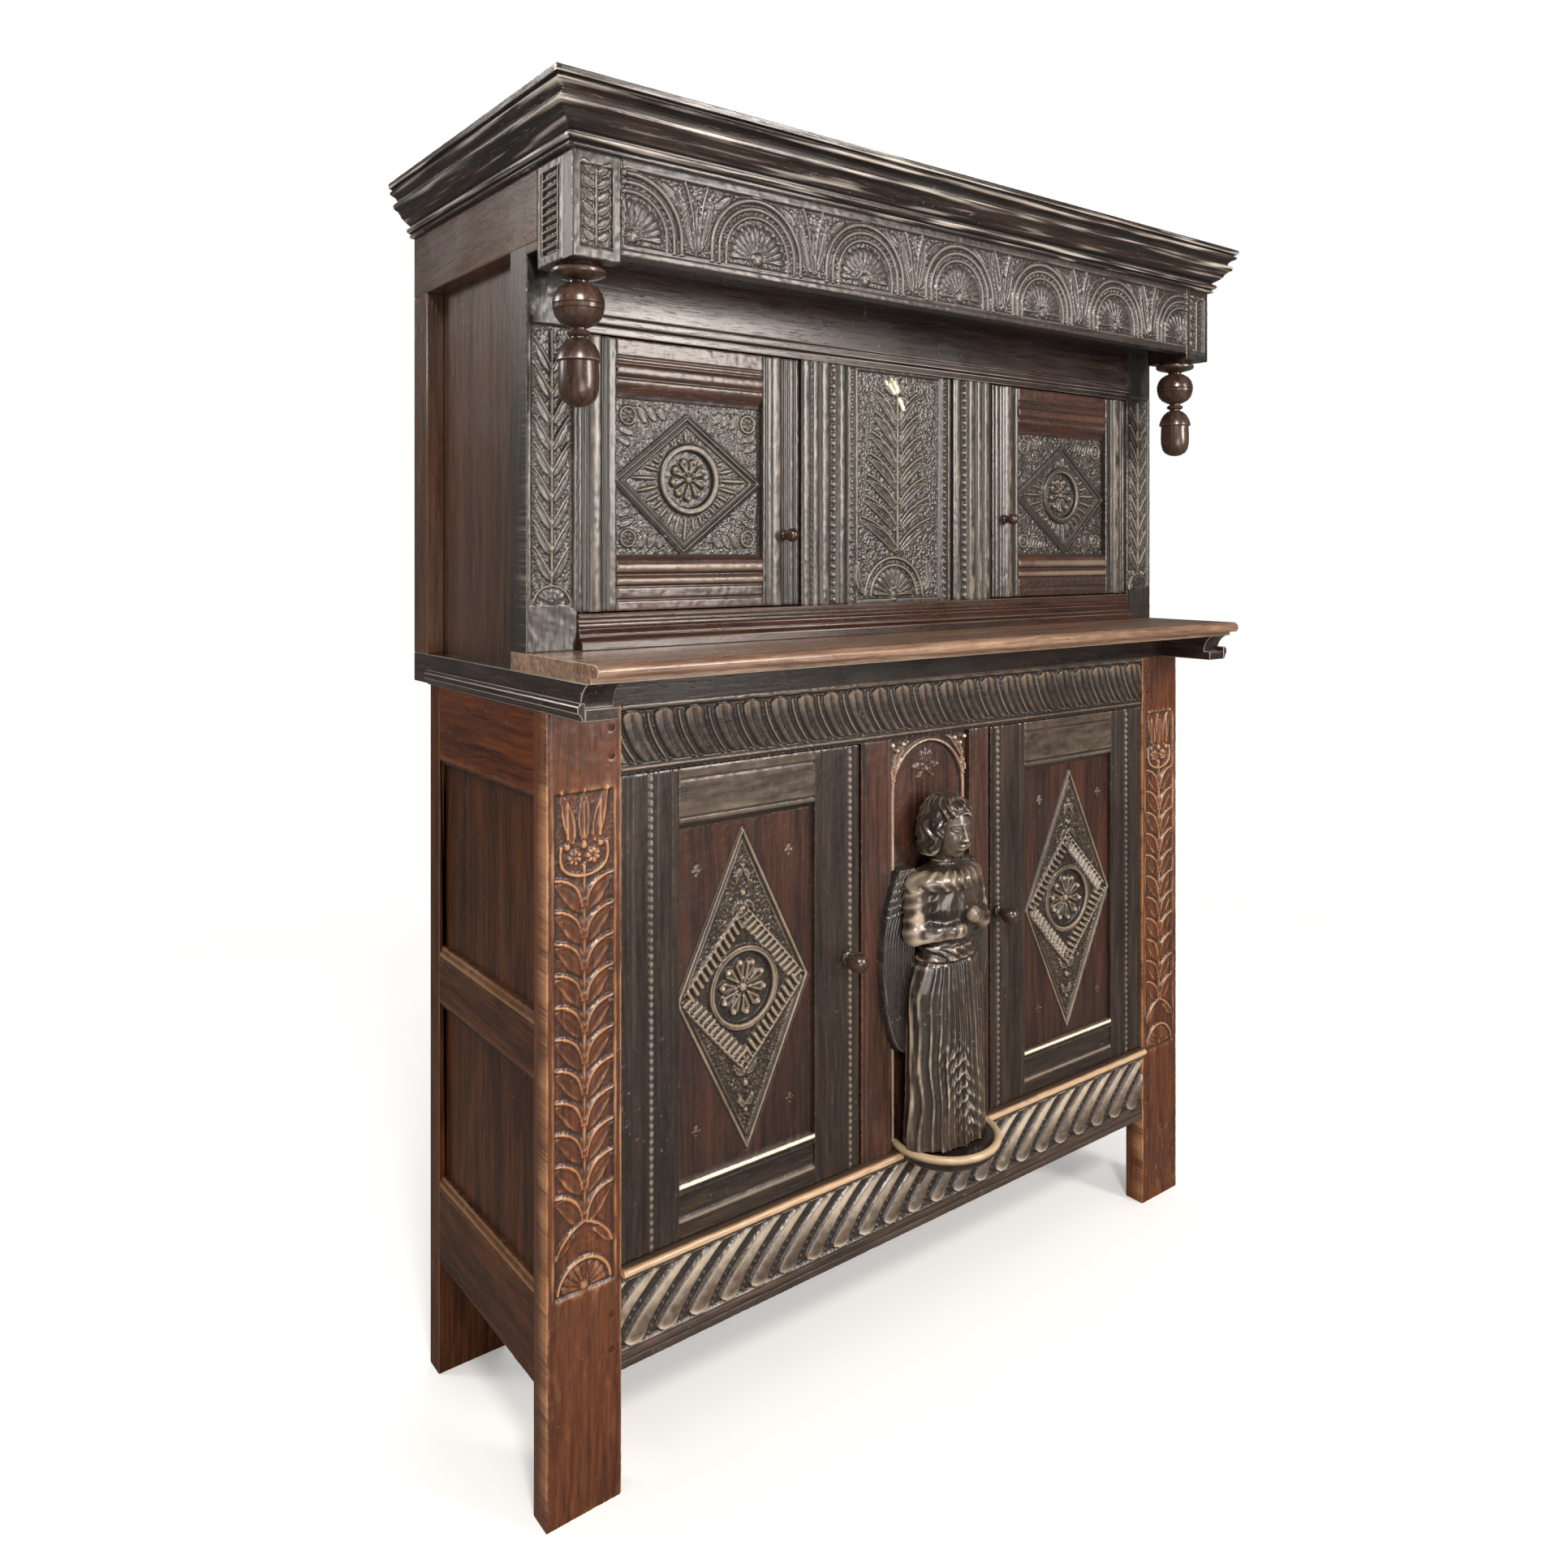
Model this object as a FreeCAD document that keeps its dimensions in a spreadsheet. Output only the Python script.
import FreeCAD, Part
import math
import os
import Sketcher
from FreeCAD import Placement, Rotation, Vector

# Court cupboard in oak: a low two-door case with an overhanging ledge, and a recessed
# two-door case above it under a deep frieze with turned pendants.
# Millimetres, +Z up, +X to the right, the front faces -Y.
# The origin is on the floor, in the middle of the plan.

os.makedirs("parts", exist_ok=True)
doc = FreeCAD.newDocument("court_cupboard")
sheet = doc.addObject("Spreadsheet::Sheet", "sizes")

measures = {
    # whole piece
    "overall_depth": 583.0,
    "case_width": 1302.0,
    "joint_clearance": 0.2,
    "running_clearance": 0.06,
    "turning_gap": 0.3,
    # lower case
    "lower_case_depth": 386.0,
    "lower_opening_height": 629.0,
    "post_width": 104.0,
    "post_thickness": 36.0,
    "rear_post_thickness": 34.0,
    "leg_height": 157.0,
    "base_rail_height": 113.0,
    "base_band_height": 23.0,
    "front_rail_thickness": 30.0,
    "sill_bead_height": 18.0,
    "sill_bead_projection": 8.0,
    "nulled_rail_height": 89.0,
    "nulled_band_height": 12.0,
    "tenon_length": 28.0,
    "tenon_shoulder": 9.0,
    "peg_radius": 4.5,
    "peg_length": 32.0,
    "side_rail_thickness": 26.0,
    "side_top_rail_height": 113.0,
    "side_middle_rail_height": 88.0,
    "side_lower_panel_height": 248.0,
    "side_bottom_rail_height": 124.0,
    "side_bottom_rail_lift": 9.0,
    "side_panel_thickness": 10.0,
    "side_panel_recess": 11.0,
    "panel_groove_depth": 8.0,
    "floor_thickness": 16.0,
    "back_board_thickness": 14.0,
    "back_rail_height": 105.0,
    "back_rail_shoulder": 4.0,
    # fixed bay between the lower doors
    "bay_width": 275.0,
    "niche_stile_left_width": 60.0,
    "niche_stile_right_width": 44.0,
    "niche_stile_thickness": 24.0,
    "niche_setback": 3.0,
    "niche_panel_thickness": 12.0,
    "niche_panel_recess": 9.0,
    "niche_arch_margin": 8.0,
    "niche_arch_head": 12.0,
    "niche_arch_rise": 64.0,
    "niche_arch_depth": 4.0,
    # winged figure and its bracket
    "figure_offset": 12.0,
    "bracket_offset": 20.0,
    "bracket_reach": 14.0,
    "bracket_radius": 90.0,
    "bracket_height": 44.0,
    "bracket_rise": 12.0,
    "figure_height": 440.0,
    "figure_width": 168.0,
    "figure_depth": 76.0,
    "head_height": 102.0,
    "head_width": 108.0,
    "head_depth": 84.0,
    "wing_length": 282.0,
    "wing_width": 66.0,
    "wing_thickness": 12.0,
    "wing_rise": 139.0,
    "wing_reach": 127.0,
    # doors
    "hinge_gap": 1.5,
    "lock_gap": 5.0,
    "door_head_gap": 2.0,
    "door_inset": 3.0,
    "door_thickness": 24.0,
    "hinge_setback": 8.0,
    "hinge_pin_radius": 4.0,
    "hinge_pin_length": 40.0,
    "door_tenon_length": 30.0,
    "door_tenon_shoulder": 8.0,
    "door_panel_thickness": 9.0,
    "door_panel_recess": 7.0,
    "door_panel_groove": 9.0,
    "lower_hinge_stile_width": 88.0,
    "lower_lock_stile_width": 84.0,
    "lower_door_top_rail": 84.0,
    "lower_door_bottom_rail": 72.0,
    "upper_hinge_stile_width": 58.0,
    "upper_lock_stile_width": 66.0,
    "upper_door_top_rail": 79.0,
    "upper_door_bottom_rail": 75.0,
    "lozenge_margin": 4.0,
    "lozenge_relief": 2.5,
    "lower_ring_radius": 59.0,
    "upper_ring_radius": 51.0,
    "ring_width": 9.0,
    "ring_relief": 5.0,
    # turned knobs and their inside catches
    "lower_left_knob_edge": 24.0,
    "lower_right_knob_edge": 18.0,
    "upper_left_knob_edge": 26.0,
    "upper_right_knob_edge": 31.0,
    "lower_left_knob_rise": 315.0,
    "lower_right_knob_rise": 323.0,
    "upper_left_knob_rise": 105.0,
    "upper_right_knob_rise": 136.0,
    "lower_knob_radius": 15.0,
    "upper_knob_radius": 10.0,
    "spindle_radius": 4.0,
    "catch_length": 58.0,
    "catch_width": 20.0,
    "catch_thickness": 12.0,
    "catch_gap": 1.0,
    # ledge between the two cases
    "ledge_overhang": 130.0,
    "ledge_side_height": 44.0,
    "ledge_side_width": 44.0,
    "ledge_thickness": 24.0,
    "ledge_bracket_setback": 22.0,
    "ledge_bracket_cove": 20.0,
    "ledge_bracket_step": 12.0,
    "ledge_bracket_foot": 14.0,
    "ledge_fascia_thickness": 24.0,
    "side_moulding_height": 22.0,
    "side_moulding_projection": 10.0,
    # upper case
    "court_recess": 58.0,
    "upper_stile_width": 72.0,
    "upper_stile_depth": 47.0,
    "upper_side_thickness": 52.0,
    "upper_rear_stile_depth": 53.0,
    "upper_panel_recess": 26.0,
    "upper_rail_thickness": 30.0,
    "upper_sill_height": 48.0,
    "upper_sill_projection": 12.0,
    "upper_opening_height": 368.0,
    "head_rail_height": 100.0,
    "head_band_projection": 6.0,
    "muntin_width": 90.0,
    "muntin_thickness": 25.0,
    "centre_width": 412.0,
    "centre_panel_recess": 9.0,
    "centre_panel_thickness": 12.0,
    # frieze, pendants and cornice
    "frieze_overhang": 67.0,
    "frieze_lap": 27.0,
    "frieze_rise": 151.0,
    "frieze_thickness": 25.0,
    "soffit_thickness": 12.0,
    "corner_block_width": 66.0,
    "corner_block_depth": 94.0,
    "corner_block_drop": 10.0,
    "corner_block_frame": 12.0,
    "corner_block_sinking": 3.0,
    "corner_block_panel_top": 64.0,
    "pendant_height": 175.0,
    "pendant_radius": 34.0,
    "roof_thickness": 16.0,
    "cornice_height": 77.0,
    "cornice_projection": 40.0,
    # carved repeats
    "null_gap": 12.0,
    "null_relief": 4.0,
    "gadroon_gap": 10.0,
    "gadroon_relief": 5.0,
    "carving_border": 4.0,
    "lunette_pitch": 190.0,
    "lunette_radius": 84.0,
    "lunette_band": 10.0,
    "lunette_relief": 4.0,
    "lunette_level": 16.0,
}

for row, (name, value) in enumerate(measures.items(), start=1):
    sheet.set(f"A{row}", name)
    sheet.set(f"B{row}", str(value))
    sheet.setAlias(f"B{row}", name)
doc.recompute()

null_count = 23
gadroon_count = 22
lunette_count = 7
back_board_count = 6


# A size carries the sheet's expression and its present value together, so that one line
# of arithmetic binds an object and also places the first shape of a sketch.
class Size:
    def __init__(self, text, value):
        self.text = text
        self.value = value

    def __add__(self, other):
        other = as_size(other)
        return Size(f"({self.text} + {other.text})", self.value + other.value)

    def __radd__(self, other):
        return as_size(other) + self

    def __sub__(self, other):
        other = as_size(other)
        return Size(f"({self.text} - {other.text})", self.value - other.value)

    def __rsub__(self, other):
        return as_size(other) - self

    def __mul__(self, other):
        other = as_size(other)
        return Size(f"({self.text} * {other.text})", self.value * other.value)

    def __rmul__(self, other):
        return as_size(other) * self

    def __truediv__(self, other):
        other = as_size(other)
        return Size(f"({self.text} / {other.text})", self.value / other.value)

    def __neg__(self):
        return Size(f"(0 - {self.text})", -self.value)


def as_size(value):
    return value if isinstance(value, Size) else Size(f"({value})", float(value))


class SheetSizes:
    def __getattr__(self, name):
        return Size(f"sizes.{name}", measures[name])


s = SheetSizes()
zero = as_size(0)
nodes = []


def bind(item, prop, size):
    item.setExpression(prop, as_size(size).text)


def place(item, x, y, z):
    bind(item, "Placement.Base.x", x)
    bind(item, "Placement.Base.y", y)
    bind(item, "Placement.Base.z", z)
    return item


# A rectangular volume, by two opposite corners.
class Block:
    def __init__(self, corner, opposite):
        pairs = [(as_size(a), as_size(b)) for a, b in zip(corner, opposite)]
        self.low = [a if a.value <= b.value else b for a, b in pairs]
        self.high = [b if a.value <= b.value else a for a, b in pairs]

    def grown(self, gap):
        return Block([a - gap for a in self.low], [b + gap for b in self.high])

    def build(self, name):
        item = doc.addObject("Part::Box", name)
        for prop, low, high in zip(("Length", "Width", "Height"), self.low, self.high):
            bind(item, prop, high - low)
        return place(item, *self.low)


turns = {"Y": Rotation(Vector(1, 0, 0), -90), "Z": Rotation()}


# A round volume that starts at a point and runs along an axis.
class Rod:
    def __init__(self, start, radius, length, axis):
        self.start = start
        self.radius = radius
        self.length = length
        self.axis = axis

    def build(self, name):
        item = doc.addObject("Part::Cylinder", name)
        item.Placement = Placement(Vector(), turns[self.axis])
        bind(item, "Radius", self.radius)
        bind(item, "Height", self.length)
        return place(item, *self.start)


def built(name, pieces):
    return [piece.build(f"{name}_{i}") if isinstance(piece, (Block, Rod)) else piece
            for i, piece in enumerate(pieces)]


def fused(name, pieces):
    items = built(name, pieces)
    if len(items) == 1:
        return items[0]
    whole = doc.addObject("Part::MultiFuse", name)
    whole.Shapes = items
    whole.Refine = True
    return whole


def timber(name, add, take=()):
    stock = fused(name + "_stock", add)
    if not take:
        return stock
    result = doc.addObject("Part::Cut", name + "_worked")
    result.Base = stock
    result.Tool = fused(name + "_tools", take)
    result.Refine = True
    return result


def common(name, first, second):
    result = doc.addObject("Part::Common", name)
    result.Base = first
    result.Tool = second
    return result


def mirrored(name, source, centre=zero):
    item = doc.addObject("Part::Mirroring", name)
    item.Source = source
    item.Normal = Vector(1, 0, 0)
    bind(item, "Base.x", centre)
    return item


def group(name, items):
    item = doc.addObject("Part::Compound", name)
    item.Links = items
    return item


def node(label, item):
    item.Label = label
    nodes.append(item)


def node_pair(label, item):
    node(label + "_left", item)
    node(label + "_right", mirrored(label + "_mirror", item))


def node_of_pair(label, item):
    node(label, group(label + "_group", [item, mirrored(label + "_mirror", item)]))


# An outline is a closed row of points (across, up, bend), in anticlockwise order. A bend
# is the radius of the arc to the next point: positive bulges out, negative hollows in.
def draw_outline(sketch, points):
    ends = []
    for i, (x, y, bend) in enumerate(points):
        following = points[(i + 1) % len(points)]
        a = Vector(x.value, y.value, 0)
        b = Vector(following[0].value, following[1].value, 0)
        if bend is None:
            ends.append((sketch.addGeometry(Part.LineSegment(a, b)), 1, 2))
            continue
        chord = b - a
        bulges = bend.value > 0
        radius = abs(bend.value)
        rise = math.sqrt(max(radius ** 2 - (chord.Length / 2) ** 2, 0.0))
        across = Vector(-chord.y, chord.x, 0).normalize()
        centre = (a + b) * 0.5 + across * (rise if bulges else -rise)
        start, end = (a, b) if bulges else (b, a)
        first = math.atan2(start.y - centre.y, start.x - centre.x)
        last = math.atan2(end.y - centre.y, end.x - centre.x)
        circle = Part.Circle(centre, Vector(0, 0, 1), radius)
        number = sketch.addGeometry(Part.ArcOfCircle(circle, first, last))
        ends.append((number, 1, 2) if bulges else (number, 2, 1))
        row = sketch.addConstraint(Sketcher.Constraint("Radius", number, radius))
        sketch.setExpression(f"Constraints[{row}]", (bend if bulges else -bend).text)
    for i, (number, start, end) in enumerate(ends):
        after = ends[(i + 1) % len(ends)]
        sketch.addConstraint(Sketcher.Constraint("Coincident", number, end, after[0], after[1]))
        for kind, axis, size in (("DistanceX", -2, points[i][0]), ("DistanceY", -1, points[i][1])):
            if size.value == 0:
                sketch.addConstraint(Sketcher.Constraint("PointOnObject", number, start, axis))
                continue
            row = sketch.addConstraint(Sketcher.Constraint(kind, -1, 1, number, start, size.value))
            sketch.setExpression(f"Constraints[{row}]", size.text)


def add_sketch(body, name, plane, points):
    sketch = body.newObject("Sketcher::SketchObject", name)
    for feature in body.Origin.OriginFeatures:
        if feature.Role == plane:
            sketch.AttachmentSupport = (feature, [""])
    sketch.MapMode = "FlatFace"
    draw_outline(sketch, points)
    return sketch


# The outline is drawn across the run and padded along +X, +Y or +Z.
def add_pad(body, name, plane, points, run):
    pad = body.newObject("PartDesign::Pad", name)
    pad.Profile = add_sketch(body, name + "_outline", plane, points)
    bind(pad, "Length", run)
    pad.Reversed = plane == "XZ_Plane"
    body.Tip = pad
    return pad


def moulding(name, plane, points, run):
    body = doc.addObject("PartDesign::Body", name)
    add_pad(body, name + "_run", plane, points, run)
    return body


# Half the outline, drawn from the axis, is revolved about it.
def turned(name, points):
    body = doc.addObject("PartDesign::Body", name)
    sketch = add_sketch(body, name + "_outline", "XZ_Plane", points)
    lathe = body.newObject("PartDesign::Revolution", name + "_turning")
    lathe.Profile = sketch
    lathe.ReferenceAxis = (sketch, ["V_Axis"])
    lathe.Angle = 360.0
    body.Tip = lathe
    return body


def repeat_along_x(body, first, count, span):
    pattern = body.newObject("PartDesign::LinearPattern", body.Name + "_repeat")
    pattern.Originals = [first]
    pattern.Direction = (first.Profile[0], ["H_Axis"])
    bind(pattern, "Length", span)
    pattern.Occurrences = count
    body.Tip = pattern


# Shares of two sizes become the points of an outline; the bends follow the second size.
def shared_points(shares, across, up):
    return [(across * x, up * y, None if bend is None else up * bend) for x, y, bend in shares]


# A moulding has a flat back, and projects towards minus, as a front or a left side does.
def moulded(shares, projection, height, depth=zero):
    return [(depth, zero, None), (depth, height, None)] + shared_points(shares, -projection, height)


# Main planes and levels
half = s.case_width / 2
front = s.ledge_overhang - s.overall_depth / 2
back = s.overall_depth / 2
lower_back = front + s.lower_case_depth
post_back = front + s.post_thickness
rear_post_front = lower_back - s.rear_post_thickness
post_inner = half - s.post_width
rail_back = front + s.front_rail_thickness
base_top = s.leg_height + s.base_rail_height
lower_sill = base_top + s.sill_bead_height
lower_head = lower_sill + s.lower_opening_height
lower_case_height = lower_head + s.nulled_rail_height
ledge_underside = lower_case_height + s.ledge_side_height
ledge_top = ledge_underside + s.ledge_thickness
upper_front = front + s.court_recess
upper_rail_back = upper_front + s.upper_rail_thickness
upper_stile_back = upper_front + s.upper_stile_depth
upper_stile_inner = half - s.upper_stile_width
upper_rear_front = back - s.upper_rear_stile_depth
upper_back_inner = half - s.upper_side_thickness
upper_sill = ledge_top + s.upper_sill_height
upper_head = upper_sill + s.upper_opening_height
upper_frame_top = upper_head + s.head_rail_height
frieze_underside = upper_frame_top - s.frieze_lap
frieze_top = upper_frame_top + s.frieze_rise
overall_height = frieze_top + s.roof_thickness
frieze_front = front - s.frieze_overhang
frieze_back = frieze_front + s.frieze_thickness
block_inner = half - s.corner_block_width
block_back = frieze_front + s.corner_block_depth
block_underside = frieze_underside - s.corner_block_drop


# A rail's tongue reaches past both shoulders, and is thinner and lower than the rail.
def tongue(reach, y_low, y_high, z_low, z_high, side):
    return Block((-reach - s.tenon_length, y_low + side, z_low + s.tenon_shoulder),
                 (reach + s.tenon_length, y_high - side, z_high - s.tenon_shoulder))


nulled_tongue = tongue(post_inner, front, rail_back, lower_head, lower_case_height, s.tenon_shoulder)
base_tongue = tongue(post_inner, front, rail_back, s.leg_height, base_top, s.tenon_shoulder)
back_rail_back = lower_back - s.back_board_thickness
back_levels = [base_top - s.back_rail_height, lower_case_height - s.back_rail_height]
back_tongues = [
    tongue(post_inner, rear_post_front, back_rail_back, level, level + s.back_rail_height,
           s.back_rail_shoulder) for level in back_levels]

# Side rails run from the front posts to the rear posts, flush with the outside.
side_inner = half - s.side_rail_thickness
side_tenon = s.post_thickness / 2
side_bottom_level = s.leg_height + s.side_bottom_rail_lift
side_bottom_top = side_bottom_level + s.side_bottom_rail_height
side_middle_level = side_bottom_top + s.side_lower_panel_height
side_ranges = [
    (side_bottom_level, side_bottom_top),
    (side_middle_level, side_middle_level + s.side_middle_rail_height),
    (lower_case_height - s.side_top_rail_height, lower_case_height),
]
side_tongues = [
    Block((-half + s.tenon_shoulder, post_back - side_tenon, low + s.tenon_shoulder),
          (-side_inner - s.tenon_shoulder, rear_post_front + side_tenon, high - s.tenon_shoulder))
    for low, high in side_ranges]
side_panel_outer = half - s.side_panel_recess
side_panels = [
    Block((-side_panel_outer, post_back - s.panel_groove_depth, below[1] - s.panel_groove_depth),
          (-side_panel_outer + s.side_panel_thickness, rear_post_front + s.panel_groove_depth,
           above[0] + s.panel_groove_depth))
    for below, above in zip(side_ranges, side_ranges[1:])]
side_grooves = [panel.grown(s.joint_clearance) for panel in side_panels]
side_mortises = [part.grown(s.joint_clearance) for part in side_tongues]

# Pegs go through the front posts and the tenons of the two front rails.
peg_level_share = 0.3
peg_x = post_inner + s.tenon_length / 2
peg_hole = s.peg_radius + s.joint_clearance / 2
peg_levels = []
for level, height in ((s.leg_height, s.base_rail_height), (lower_head, s.nulled_rail_height)):
    peg_levels += [level + height * peg_level_share, level + height * (1 - peg_level_share)]


def pegs(x, radius):
    return [Rod((x, front, level), radius, s.peg_length, "Y") for level in peg_levels]


# Lower case: posts
node_pair("lower_front_post", timber(
    "front_post",
    [Block((-half, front, zero), (-post_inner, post_back, lower_case_height))],
    [nulled_tongue.grown(s.joint_clearance), base_tongue.grown(s.joint_clearance)]
    + side_mortises + side_grooves + pegs(-peg_x, peg_hole)))
node_pair("lower_rear_post", timber(
    "rear_post",
    [Block((-half, rear_post_front, zero), (-post_inner, lower_back, lower_case_height))],
    [part.grown(s.joint_clearance) for part in back_tongues] + side_mortises + side_grooves))

# Lower case: side frames and panels
node_pair("lower_side_rails", group("side_rail_group", [
    timber(f"side_rail_{i}",
           [Block((-half, post_back, low), (-side_inner, rear_post_front, high)), side_tongues[i]],
           side_grooves)
    for i, (low, high) in enumerate(side_ranges)]))
node_pair("lower_side_panels", group("side_panel_group", built("side_panel", side_panels)))


# A carved rail: a ground that is sunk behind a plain band, with upright round-topped
# lobes that stand on the band and come out to the face.
def lobed_rail(name, level, height, band, relief, count, gap):
    width = post_inner * 2
    pitch = width / count
    body = doc.addObject("PartDesign::Body", name)
    add_pad(body, name + "_ground", "YZ_Plane", [
        (zero, zero, None), (s.front_rail_thickness, zero, None), (s.front_rail_thickness, height, None),
        (relief, height, None), (relief, band, None), (zero, band, None)], width)
    low, high = gap / 2, pitch - gap / 2
    bend_share = 0.55
    top = height - s.carving_border - (high - low) / 2
    lobe = add_pad(body, name + "_lobe", "XZ_Plane", [
        (low, band, None), (high, band, None), (high, top, (high - low) * bend_share),
        (low, top, None)], relief)
    repeat_along_x(body, lobe, count, pitch * (count - 1))
    return place(body, -post_inner, front, level)


# The room that a door fills, between its hinge post and the fixed middle. The side is
# minus one on the left and one on the right.
class DoorSpace:
    def __init__(self, side, outer, inner, low, high, face):
        self.side = side
        self.hinge_edge = (outer - s.hinge_gap) * side
        self.lock_edge = (inner + s.lock_gap) * side
        self.low = low + s.door_head_gap
        self.high = high - s.door_head_gap
        self.face = face
        self.back = face + s.door_thickness
        self.pivot_x = self.hinge_edge - s.hinge_setback * side
        self.pivot_y = face + s.hinge_setback

    # Two iron pins, each half in the rail and half in the door
    def pins(self, radius):
        reach = s.hinge_pin_length / 2
        return [Rod((self.pivot_x, self.pivot_y, level - reach), radius, s.hinge_pin_length, "Z")
                for level in (self.low, self.high)]


lower_face = front + s.door_inset
upper_face = upper_front + s.door_inset
bay_half = s.bay_width / 2
centre_half = s.centre_width / 2
lower_left = DoorSpace(-1, post_inner, bay_half, lower_sill, lower_head, lower_face)
lower_right = DoorSpace(1, post_inner, bay_half, lower_sill, lower_head, lower_face)
upper_left = DoorSpace(-1, upper_stile_inner, centre_half, upper_sill, upper_head, upper_face)
upper_right = DoorSpace(1, upper_stile_inner, centre_half, upper_sill, upper_head, upper_face)
fixed_hole = s.hinge_pin_radius + s.joint_clearance / 2
running_hole = s.hinge_pin_radius + s.running_clearance
lower_pin_holes = lower_left.pins(fixed_hole) + lower_right.pins(fixed_hole)
upper_pin_holes = upper_left.pins(fixed_hole) + upper_right.pins(fixed_hole)
node("hinge_pins", group("hinge_pin_group", built("hinge_pin", [
    pin for space in (lower_left, lower_right, upper_left, upper_right)
    for pin in space.pins(s.hinge_pin_radius)])))

# Lower case: front rails, sill bead and pegs
peg_holes = pegs(-peg_x, peg_hole) + pegs(peg_x, peg_hole)
nulled_face = lobed_rail("nulled_face", lower_head, s.nulled_rail_height,
                         s.nulled_band_height, s.null_relief, null_count, s.null_gap)
node("nulled_rail", timber("nulled", [nulled_face, nulled_tongue], peg_holes + lower_pin_holes))
base_face = lobed_rail("base_face", s.leg_height, s.base_rail_height,
                       s.base_band_height, s.gadroon_relief, gadroon_count, s.gadroon_gap)
node("base_rail", timber("base", [base_face, base_tongue], peg_holes + lower_pin_holes))

bead_shares = [(0, 1, None), (0.52, 1, 0.7), (0.52, 0, None)]
bead = moulding("sill_bead_strip", "YZ_Plane",
                moulded(bead_shares, s.sill_bead_projection, s.sill_bead_height, s.front_rail_thickness),
                post_inner * 2)
place(bead, -post_inner, front, base_top)
node("base_rail_bead", timber("sill_bead", [bead], lower_pin_holes))
node("joint_pegs", group("peg_group", built("peg", pegs(-peg_x, s.peg_radius) + pegs(peg_x, s.peg_radius))))

# Lower case: back and floor
node("lower_back_rails", group("back_rail_group", [
    fused(f"back_rail_{i}",
          [Block((-post_inner, rear_post_front, level),
                 (post_inner, back_rail_back, level + s.back_rail_height)), back_tongues[i]])
    for i, level in enumerate(back_levels)]))


def upright_boards(name, reach, y_high, z_low, z_high):
    width = reach * 2 / back_board_count
    return group(name, built(name + "_board", [
        Block((-reach + width * i, y_high - s.back_board_thickness, z_low),
              (-reach + width * (i + 1), y_high, z_high))
        for i in range(back_board_count)]))


node("lower_back_boards",
     upright_boards("lower_back", post_inner, lower_back, back_levels[0], lower_case_height))
floor_top = base_top + s.floor_thickness
node("lower_floor", fused("floor", [
    Block((-post_inner, rail_back, base_top), (post_inner, back_rail_back, floor_top)),
    Block((-side_inner, post_back, base_top), (side_inner, rear_post_front, floor_top))]))

# Fixed bay: two stiles and a panel with a shallow arched niche
niche_face = front + s.niche_setback
niche_left = -bay_half + s.niche_stile_left_width
niche_right = bay_half - s.niche_stile_right_width
niche_panel_face = niche_face + s.niche_panel_recess
niche_board = Block(
    (niche_left - s.panel_groove_depth, niche_panel_face, lower_sill),
    (niche_right + s.panel_groove_depth, niche_panel_face + s.niche_panel_thickness, lower_head))
for label, low, high in (("niche_stile_left", -bay_half, niche_left),
                         ("niche_stile_right", niche_right, bay_half)):
    stile = Block((low, niche_face, lower_sill), (high, niche_face + s.niche_stile_thickness, lower_head))
    node(label, timber(label + "_wood", [stile], [niche_board.grown(s.joint_clearance)]))
arch_left = niche_left + s.niche_arch_margin
arch_right = niche_right - s.niche_arch_margin
arch_spring = lower_head - s.niche_arch_head - s.niche_arch_rise
arch_half = (arch_right - arch_left) / 2
arch_bend = (arch_half * arch_half + s.niche_arch_rise * s.niche_arch_rise) / (s.niche_arch_rise * 2)
arch = moulding("niche_arch", "XZ_Plane", [
    (arch_left, lower_sill, None), (arch_right, lower_sill, None), (arch_right, arch_spring, arch_bend),
    (arch_left, arch_spring, None)], s.niche_arch_depth)
place(arch, zero, niche_panel_face, zero)
node("niche_panel", timber("niche", [niche_board], [arch]))

# Round bracket under the figure, cut to sit on the sill bead and in the niche
figure_back = niche_panel_face + s.niche_arch_depth
bracket_top = lower_sill + s.bracket_rise
bracket_shares = [
    (0, 0, None), (0.36, 0, 0.9), (0.86, 0.46, None), (0.93, 0.5, None), (0.93, 0.62, None),
    (1, 0.66, None), (1, 1, None), (0, 1, None)]
corbel = turned("bracket_turning", shared_points(bracket_shares, s.bracket_radius, s.bracket_height))
place(corbel, s.bracket_offset, niche_face - s.bracket_reach, bracket_top - s.bracket_height)
clear = s.bracket_radius * 2
bead_front = front - s.sill_bead_projection - s.turning_gap
node("figure_bracket", timber("bracket", [corbel], [
    Block((-clear, bead_front, zero), (clear, rail_back, lower_sill)),
    Block((-clear, figure_back, zero), (clear, figure_back + clear, lower_head)),
    Block((-clear, niche_panel_face, zero), (arch_left, figure_back, lower_head)),
    Block((arch_right, niche_panel_face, zero), (clear, figure_back, lower_head)),
    Block((-clear, niche_face, zero), (niche_left, niche_panel_face, lower_head)),
    Block((niche_right, niche_face, zero), (clear, niche_panel_face, lower_head))]))

# Wings lie on the stiles' faces; the figure is hollowed where they pass behind it.
wing_shares = [(-0.5, 0, None), (-0.08, 0.4, None), (0, 0.9, None), (-0.3, 0.98, 0.25), (-0.85, 0.88, None),
               (-1, 0.6, None), (-0.8, 0.25, None)]
wing_left = moulding("wing_blade", "XZ_Plane", shared_points(wing_shares, s.wing_width, s.wing_length),
                     s.wing_thickness)
place(wing_left, s.figure_offset - s.wing_reach + s.wing_width, niche_face - s.wing_thickness,
      bracket_top + s.wing_rise)
wing_right = mirrored("wing_mirror", wing_left, s.figure_offset)
node("angel_wings", group("wing_group", [wing_left, wing_right]))

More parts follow.
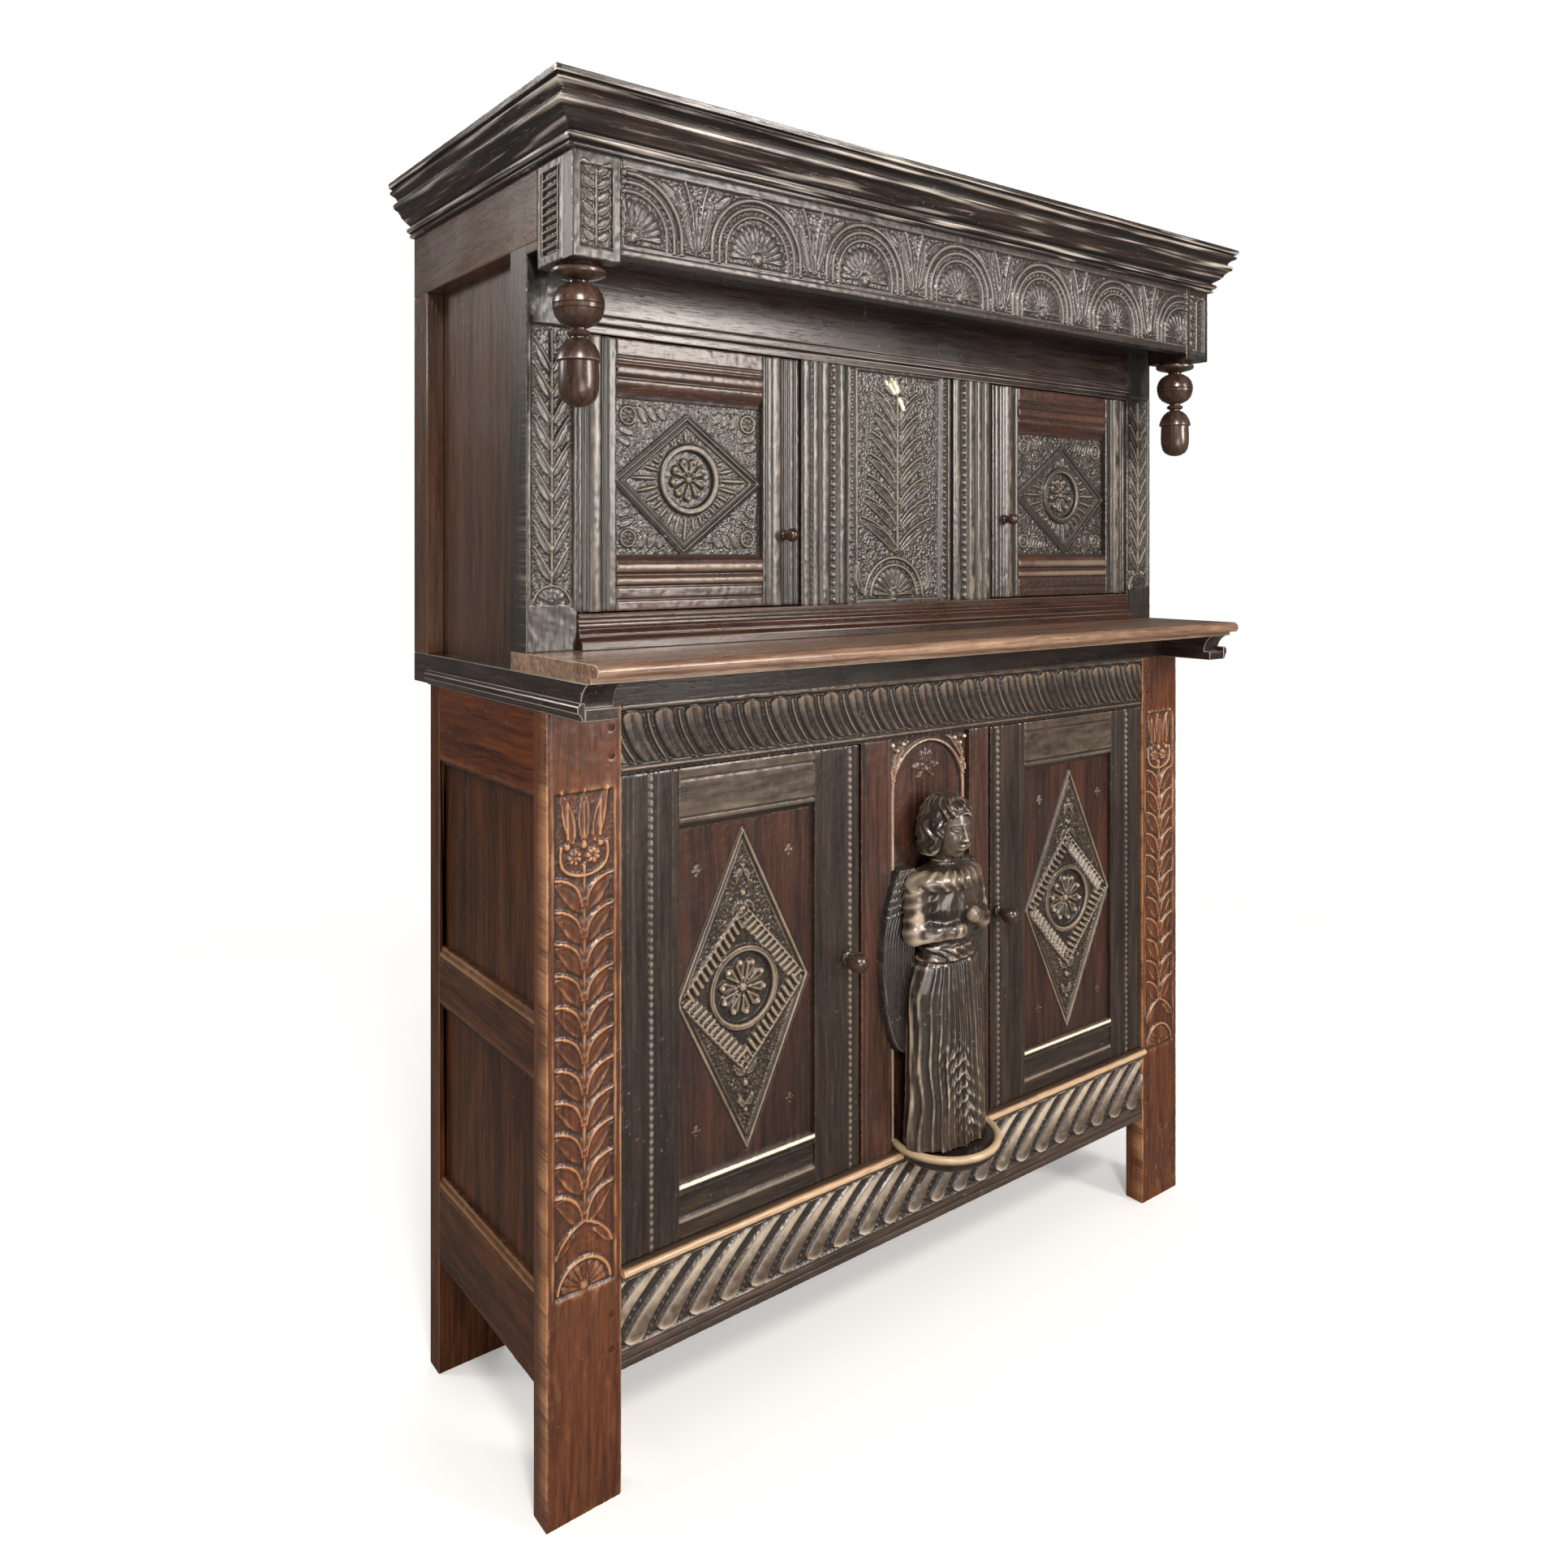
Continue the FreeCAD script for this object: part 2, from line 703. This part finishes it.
# The figure: a robe lofted through half-round sections, and a head
robe_shares = [
    (0, 1, 1), (0.1, 0.95, 0.96), (0.3, 0.8, 0.86), (0.5, 0.66, 0.76), (0.62, 0.62, 0.72),
    (0.74, 0.9, 1), (0.9, 1, 0.86), (0.97, 0.8, 0.62), (1, 0.42, 0.49)]
robe = doc.addObject("PartDesign::Body", "robe")
sections = []
for i, (up, wide, deep) in enumerate(robe_shares):
    reach = s.figure_width * wide / 2
    depth = s.figure_depth * deep
    section = add_sketch(robe, f"robe_section_{i}", "XY_Plane", [
        (reach, zero, None), (-reach, zero, (reach * reach + depth * depth) / (depth * 2))])
    bind(section, "AttachmentOffset.Base.z", s.figure_height * up)
    sections.append(section)
loft = robe.newObject("PartDesign::AdditiveLoft", "robe_loft")
loft.Profile = sections[0]
loft.Sections = sections[1:]
robe.Tip = loft
place(robe, s.figure_offset, niche_face, bracket_top)
head_lift_share = 0.36
head_level = bracket_top + s.figure_height + s.head_height * head_lift_share
head = doc.addObject("Part::Ellipsoid", "head")
bind(head, "Radius1", s.head_height / 2)
bind(head, "Radius2", s.head_width / 2)
bind(head, "Radius3", s.head_depth / 2)
place(head, s.figure_offset, niche_face - s.head_depth / 2, head_level)
back_pad = Block((s.figure_offset - s.head_width / 4, niche_face, bracket_top),
                 (s.figure_offset + s.head_width / 4, figure_back, head_level))
node("angel_figure", timber("figure", [robe, head, back_pad], [wing_left, wing_right]))


# A framed door: two stiles, two rails tongued into them, a panel in grooves all round
# with a raised lozenge and ring, and a knob whose spindle carries a catch inside.
def door(label, space, hinge_width, lock_width, top_rail, bottom_rail, ring, knob):
    side = space.side
    hinge_inner = space.hinge_edge - hinge_width * side
    lock_inner = space.lock_edge + lock_width * side
    spindle_x = space.lock_edge + knob["edge"] * side
    spindle_hole = Rod((spindle_x, space.face, knob["level"]), s.spindle_radius + s.running_clearance,
                       s.door_thickness, "Y")
    panel_face = space.face + s.door_panel_recess
    board = Block(
        (hinge_inner + s.door_panel_groove * side, panel_face, space.low + bottom_rail - s.door_panel_groove),
        (lock_inner - s.door_panel_groove * side, panel_face + s.door_panel_thickness,
         space.high - top_rail + s.door_panel_groove))
    groove = board.grown(s.joint_clearance)
    rails = []
    for low, high in ((space.low, space.low + bottom_rail), (space.high - top_rail, space.high)):
        rail = Block((hinge_inner, space.face, low), (lock_inner, space.back, high))
        tenon = Block(
            (hinge_inner + s.door_tenon_length * side, space.face + s.door_tenon_shoulder,
             low + s.door_tenon_shoulder),
            (lock_inner - s.door_tenon_length * side, space.back - s.door_tenon_shoulder,
             high - s.door_tenon_shoulder))
        rails.append((rail, tenon))
    mortises = [tenon.grown(s.joint_clearance) for _, tenon in rails]
    if side < 0:
        corner = [(space.hinge_edge, space.pivot_y, s.hinge_setback), (space.pivot_x, space.face, None),
                  (hinge_inner, space.face, None), (hinge_inner, space.back, None),
                  (space.hinge_edge, space.back, None)]
    else:
        corner = [(hinge_inner, space.face, None), (space.pivot_x, space.face, s.hinge_setback),
                  (space.hinge_edge, space.pivot_y, None), (space.hinge_edge, space.back, None),
                  (hinge_inner, space.back, None)]
    hinge_stile = moulding(label + "_hinge_stile", "XY_Plane", corner, space.high - space.low)
    place(hinge_stile, zero, zero, space.low)
    lock_stile = Block((space.lock_edge, space.face, space.low), (lock_inner, space.back, space.high))
    frame = [timber(label + "_hinge", [hinge_stile], mortises + [groove] + space.pins(running_hole)),
             timber(label + "_lock", [lock_stile], mortises + [groove, spindle_hole])]
    frame += [timber(f"{label}_rail_{i}", list(pair), [groove]) for i, pair in enumerate(rails)]
    node("door_frame_" + label, group(label + "_frame", frame))

    middle_x = (hinge_inner + lock_inner) / 2
    low, high = space.low + bottom_rail, space.high - top_rail
    middle_z = (low + high) / 2
    reach_x = (hinge_inner - lock_inner) * side / 2 - s.lozenge_margin
    reach_z = (high - low) / 2 - s.lozenge_margin
    lozenge = moulding(label + "_lozenge", "XZ_Plane", [
        (zero, -reach_z, None), (reach_x, zero, None), (zero, reach_z, None), (-reach_x, zero, None)],
        s.lozenge_relief)
    place(lozenge, middle_x, panel_face - s.lozenge_relief, middle_z)
    ring_start = (middle_x, panel_face - s.ring_relief, middle_z)
    ring_disc = Rod(ring_start, ring, s.ring_relief, "Y")
    ring_hollow = Rod(ring_start, ring - s.ring_width, s.ring_relief - s.lozenge_relief, "Y")
    node("door_panel_" + label, timber(label + "_panel", [board, lozenge, ring_disc], [ring_hollow]))

    radius = knob["radius"]
    tail = s.door_thickness + s.catch_gap + s.catch_thickness
    knob_shares = [(0.75, 0, None), (0.75, 0.25, None), (0.436, 0.4, None), (0.436, 0.85, 1),
                   (0.12, 2.743, None), (0, 2.743, None)]
    head_points = [(x, z + s.turning_gap, bend) for x, z, bend in shared_points(knob_shares, radius, radius)]
    spindle = turned(label + "_knob", [
        (zero, -tail, None), (s.spindle_radius, -tail, None), (s.spindle_radius, s.turning_gap, None)]
        + head_points)
    spindle.Placement = Placement(Vector(), Rotation(Vector(1, 0, 0), 90))
    place(spindle, spindle_x, space.face, knob["level"])
    catch_front = space.back + s.catch_gap
    reach = s.catch_width / 2
    catch = timber(
        label + "_catch",
        [Block((spindle_x - reach, catch_front, knob["level"] + reach - s.catch_length),
               (spindle_x + reach, catch_front + s.catch_thickness, knob["level"] + reach))],
        [Rod((spindle_x, catch_front, knob["level"]), s.spindle_radius + s.joint_clearance / 2,
             s.catch_thickness, "Y")])
    node("latch_" + label, group(label + "_latch", [spindle, catch]))


lower_widths = (s.lower_hinge_stile_width, s.lower_lock_stile_width,
                s.lower_door_top_rail, s.lower_door_bottom_rail, s.lower_ring_radius)
upper_widths = (s.upper_hinge_stile_width, s.upper_lock_stile_width,
                s.upper_door_top_rail, s.upper_door_bottom_rail, s.upper_ring_radius)
door("lower_left", lower_left, *lower_widths,
     {"edge": s.lower_left_knob_edge, "level": lower_sill + s.lower_left_knob_rise,
      "radius": s.lower_knob_radius})
door("lower_right", lower_right, *lower_widths,
     {"edge": s.lower_right_knob_edge, "level": lower_sill + s.lower_right_knob_rise,
      "radius": s.lower_knob_radius})
door("upper_left", upper_left, *upper_widths,
     {"edge": s.upper_left_knob_edge, "level": upper_sill + s.upper_left_knob_rise,
      "radius": s.upper_knob_radius})
door("upper_right", upper_right, *upper_widths,
     {"edge": s.upper_right_knob_edge, "level": upper_sill + s.upper_right_knob_rise,
      "radius": s.upper_knob_radius})

# Upper side panels stand in grooves of the stiles, the ledge's sides and the top boards.
upper_panel_outer = half - s.upper_panel_recess
upper_panel_inner = upper_panel_outer - s.side_panel_thickness
upper_panel = Block(
    (-upper_panel_outer, upper_stile_back - s.panel_groove_depth, ledge_underside - s.panel_groove_depth),
    (-upper_panel_inner, upper_rear_front + s.panel_groove_depth, upper_frame_top + s.panel_groove_depth))
upper_groove = upper_panel.grown(s.joint_clearance)
upper_groove_right = Block(
    (upper_panel_inner - s.joint_clearance, upper_groove.low[1], upper_groove.low[2]),
    (upper_panel_outer + s.joint_clearance, upper_groove.high[1], upper_groove.high[2]))
node_of_pair("upper_side_panels", upper_panel.build("upper_panel"))

# Ledge: a nosed board on a fascia and on two sides that end as shaped brackets
nose_shares = [(0.94, 1, 0.4), (1, 0.66, None), (1, 0.5, 0.3), (0.95, 0.3, None), (0.87, 0.3, None),
               (0.87, 0, None)]
ledge_run = moulding("ledge_nosing", "YZ_Plane",
                     moulded(nose_shares, s.ledge_overhang, s.ledge_thickness, upper_stile_back - front),
                     s.case_width)
place(ledge_run, -half, front, ledge_underside)
node("ledge_board", timber("ledge", [ledge_run], [upper_groove, upper_groove_right]))
upper_back_face = back - s.back_board_thickness
node("upper_floor", fused("upper_floor_boards", [
    Block((-upper_panel_inner, upper_stile_back, ledge_underside),
          (upper_panel_inner, upper_rear_front, ledge_top)),
    Block((-upper_back_inner, upper_stile_back, ledge_underside),
          (upper_back_inner, upper_back_face, ledge_top))]))
bracket_tip = s.ledge_overhang - s.ledge_bracket_setback
bracket_throat = bracket_tip - s.ledge_bracket_cove
bracket_foot = bracket_throat + s.ledge_bracket_step
ledge_side = moulding("ledge_side_stock", "YZ_Plane", [
    (back - front, zero, None), (back - front, s.ledge_side_height, None),
    (-bracket_tip, s.ledge_side_height, -(s.ledge_side_height - s.ledge_bracket_foot)),
    (-bracket_throat, s.ledge_bracket_foot, None), (-bracket_foot, s.ledge_bracket_foot, None),
    (-bracket_foot, zero, None)], s.ledge_side_width)
place(ledge_side, -half, front, lower_case_height)
node_pair("ledge_side", timber("ledge_side", [ledge_side], [upper_groove]))
side_moulding_shares = [(0.6, 1, None), (1, 0.8, None), (1, 0.45, -0.5), (0.4, 0, None)]
side_moulding = moulding("ledge_side_strip", "XZ_Plane",
                         moulded(side_moulding_shares, s.side_moulding_projection, s.side_moulding_height),
                         s.lower_case_depth + bracket_foot)
place(side_moulding, -half, front - bracket_foot, lower_case_height)
node_of_pair("ledge_side_mouldings", side_moulding)
ledge_side_inner = half - s.ledge_side_width
node("ledge_fascia", Block(
    (-ledge_side_inner, front, lower_case_height),
    (ledge_side_inner, front + s.ledge_fascia_thickness, ledge_underside)).build("fascia"))

# Upper case: stiles, with the mortises of the rails that meet them
upper_sill_tongue = tongue(upper_stile_inner, upper_front, upper_rail_back, ledge_top, upper_sill, s.tenon_shoulder)
upper_head_tongue = tongue(upper_stile_inner, upper_front, upper_rail_back, upper_head, upper_frame_top,
                           s.tenon_shoulder)
node_pair("upper_front_stile", timber(
    "upper_stile",
    [Block((-half, upper_front, ledge_top), (-upper_stile_inner, upper_stile_back, upper_frame_top))],
    [upper_sill_tongue.grown(s.joint_clearance), upper_head_tongue.grown(s.joint_clearance), upper_groove]))
node_of_pair("upper_rear_stiles", timber(
    "upper_rear_stile",
    [Block((-half, upper_rear_front, ledge_underside), (-upper_back_inner, back, upper_frame_top))],
    [upper_groove]))
node("upper_back_boards", upright_boards("upper_back", upper_back_inner, back, lower_case_height, frieze_top))

# Upper case: sill and head rails, moulded on the front
sill_shares = [(0, 1, None), (0.35, 0.98, None), (0.35, 0.86, None), (0, 0.84, None), (0.1, 0.76, 0.11),
               (0.1, 0.58, None), (0.2, 0.54, None), (0.45, 0.44, None), (0.45, 0.36, None),
               (1, 0.24, None), (1, 0, None)]
upper_rails = [
    ("upper_sill_rail", sill_shares, s.upper_sill_projection, ledge_top, s.upper_sill_height, upper_sill_tongue),
    ("head_rail", [(0, 1, None), (0, 0.25, None), (1, 0.21, None), (1, 0.13, None), (0, 0.09, None), (0, 0, None)],
     s.head_band_projection, upper_head, s.head_rail_height, upper_head_tongue),
]
for label, shares, projection, level, height, rail_tongue in upper_rails:
    rail = moulding(label + "_run", "YZ_Plane",
                    moulded(shares, projection, height, s.upper_rail_thickness), upper_stile_inner * 2)
    place(rail, -upper_stile_inner, upper_front, level)
    node(label, timber(label + "_wood", [rail, rail_tongue], upper_pin_holes))

# Upper case: the fixed carved panel between two muntins
panel_half = centre_half - s.muntin_width
centre_face = upper_front + s.centre_panel_recess
centre_board = Block(
    (-panel_half - s.panel_groove_depth, centre_face, upper_sill),
    (panel_half + s.panel_groove_depth, centre_face + s.centre_panel_thickness, upper_head))
node("centre_panel", centre_board.build("centre_board"))
node_of_pair("centre_muntins", timber(
    "muntin",
    [Block((-centre_half, upper_front, upper_sill),
           (-panel_half, upper_front + s.muntin_thickness, upper_head))],
    [centre_board.grown(s.joint_clearance)]))

# Frieze: a board with a row of lunettes, cut to length between the corner blocks
frieze_height = frieze_top - frieze_underside
zone_top = s.lunette_level + s.lunette_radius + s.carving_border
lunette_inner = s.lunette_radius - s.lunette_band
lunette_middle = s.lunette_pitch / 2
lunette_bend_share = 1.01
arcade = doc.addObject("PartDesign::Body", "lunette_row")
add_pad(arcade, "frieze_ground", "YZ_Plane", [
    (zero, zero, None), (s.frieze_thickness, zero, None), (s.frieze_thickness, frieze_height, None),
    (zero, frieze_height, None), (zero, zone_top, None), (s.lunette_relief, zone_top, None),
    (s.lunette_relief, s.lunette_level, None), (zero, s.lunette_level, None)],
    s.lunette_pitch * lunette_count)
lunette = add_pad(arcade, "lunette", "XZ_Plane", [
    (lunette_middle - s.lunette_radius, s.lunette_level, None),
    (lunette_middle - lunette_inner, s.lunette_level, -lunette_inner * lunette_bend_share),
    (lunette_middle + lunette_inner, s.lunette_level, None),
    (lunette_middle + s.lunette_radius, s.lunette_level, s.lunette_radius * lunette_bend_share)],
    s.lunette_relief)
repeat_along_x(arcade, lunette, lunette_count, s.lunette_pitch * (lunette_count - 1))
place(arcade, -lunette_middle * lunette_count, frieze_front, frieze_underside)
frieze_room = Block((-block_inner, frieze_front, frieze_underside), (block_inner, frieze_back, frieze_top))
node("frieze_board", common("frieze_length", arcade, frieze_room.build("frieze_room")))
frame = s.corner_block_frame
node_of_pair("corner_blocks", timber(
    "corner_block",
    [Block((-half, frieze_front, block_underside), (-block_inner, block_back, frieze_top))],
    [Block((-half + frame, frieze_front, block_underside + frame),
           (-block_inner - frame, frieze_front + s.corner_block_sinking,
            frieze_top - s.corner_block_panel_top - frame))]))
node_of_pair("frieze_side_boards", timber(
    "frieze_side",
    [Block((-half, block_back, upper_frame_top), (-upper_back_inner, back, frieze_top))], [upper_groove]))
soffit_underside = upper_frame_top - s.soffit_thickness
node("soffit_board", fused("soffit", [
    Block((-block_inner, frieze_back, soffit_underside), (block_inner, upper_front, upper_frame_top)),
    Block((-half, block_back, soffit_underside), (half, upper_front, upper_frame_top))]))

# Turned pendants under the corner blocks
pendant_shares = [
    (0, 0, 0.16), (0.72, 0.13, None), (0.76, 0.32, None), (0.82, 0.325, None), (0.82, 0.345, 0.17),
    (0.26, 0.475, None), (0.22, 0.49, None), (0.38, 0.505, None), (0.38, 0.535, None), (0.24, 0.55, None),
    (0.3, 0.565, 0.142), (0.3, 0.835, None), (0.28, 0.86, None), (0.5, 0.875, None), (0.97, 0.895, None),
    (0.97, 0.93, None), (0.76, 0.945, None), (0.76, 1, None), (0, 1, None)]
pendant = turned("pendant_turning", shared_points(pendant_shares, s.pendant_radius, s.pendant_height))
place(pendant, -half + s.corner_block_width / 2, frieze_front + s.corner_block_depth / 2,
      block_underside - s.pendant_height)
node_of_pair("pendants", pendant)

# Cornice: one outline run along the front and both sides, mitred at the corners
cornice_shares = [
    (1, 1, None), (1, 0.74, None), (0.94, 0.72, -0.42), (0.42, 0.4, None), (0.5, 0.38, 0.1),
    (0.5, 0.24, None), (0.3, 0.22, -0.12), (0.16, 0.12, None), (0.24, 0.1, None), (0.24, 0, None)]
cornice_outline = moulded(cornice_shares, s.cornice_projection, s.cornice_height)
cornice_level = overall_height - s.cornice_height
outer_x = half + s.cornice_projection
outer_y = frieze_front - s.cornice_projection
front_run = moulding("cornice_front_run", "YZ_Plane", cornice_outline, outer_x * 2)
place(front_run, -outer_x, frieze_front, cornice_level)
front_mitre = moulding("cornice_front_mitre", "XY_Plane", [
    (-outer_x, outer_y, None), (outer_x, outer_y, None), (half, frieze_front, None),
    (-half, frieze_front, None)], s.cornice_height)
place(front_mitre, zero, zero, cornice_level)
node("cornice_front", common("cornice_front_length", front_run, front_mitre))
side_run = moulding("cornice_side_run", "XZ_Plane", cornice_outline, back - outer_y)
place(side_run, -half, outer_y, cornice_level)
side_mitre = moulding("cornice_side_mitre", "XY_Plane", [
    (-outer_x, outer_y, None), (-half, frieze_front, None), (-half, back, None),
    (-outer_x, back, None)], s.cornice_height)
place(side_mitre, zero, zero, cornice_level)
node_of_pair("cornice_sides", common("cornice_side_length", side_run, side_mitre))
node("roof_board", Block((-half, frieze_front, frieze_top), (half, back, overall_height)).build("roof"))

doc.recompute()
faults = [item.Name for item in doc.Objects if "Invalid" in item.State or "Error" in item.State]
for item in nodes:
    if item.Shape.isNull() or not item.Shape.isValid() or not item.Shape.Solids:
        faults.append(item.Label)
if faults:
    raise RuntimeError("not built: " + ", ".join(faults))
for item in nodes:
    item.Shape.exportStep(f"parts/{item.Label}.step")
    print(item.Label, len(item.Shape.Solids), round(item.Shape.Volume))
print(len(nodes), "nodes")
